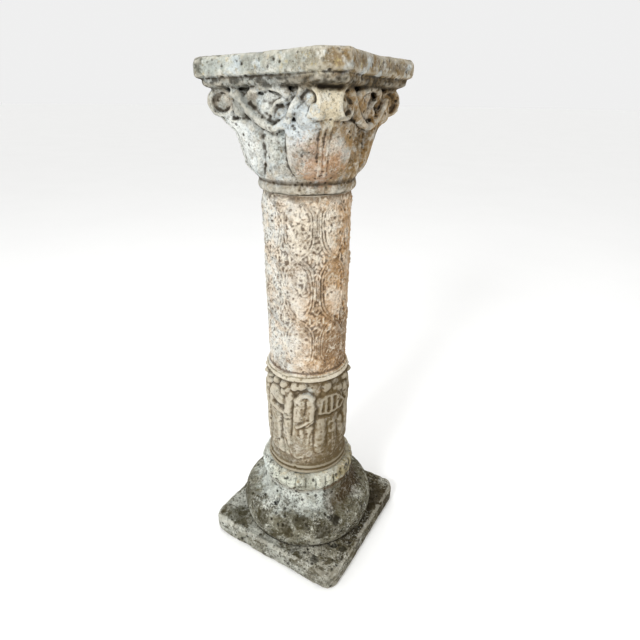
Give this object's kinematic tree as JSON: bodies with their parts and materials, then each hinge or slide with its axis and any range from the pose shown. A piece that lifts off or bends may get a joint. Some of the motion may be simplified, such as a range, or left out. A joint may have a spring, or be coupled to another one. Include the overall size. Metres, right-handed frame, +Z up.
{
  "type": "column pedestal",
  "caption": "Weathered cast-stone pedestal: square plinth, scroll-cut shaft over a figure drum, leafy capital with corner volutes under a square abacus.",
  "frame": {"origin": "centre of the plinth's underside, on the ground", "axes": "+Z up along the column's axis; the plinth's and abacus's sides face +X, -X, +Y and -Y"},
  "size_m": [0.326, 0.326, 1],
  "materials": {
    "base_stone": "rough weathered cast stone with dark lichen",
    "shaft_stone": "rough weathered cast stone, tan to bleached grey",
    "capital_stone": "rough weathered cast stone, pale with ochre spots"
  },
  "bodies": {
    "root": {"base": "base_stone", "shaft": "shaft_stone", "capital": "capital_stone"}
  },
  "joints": []
}
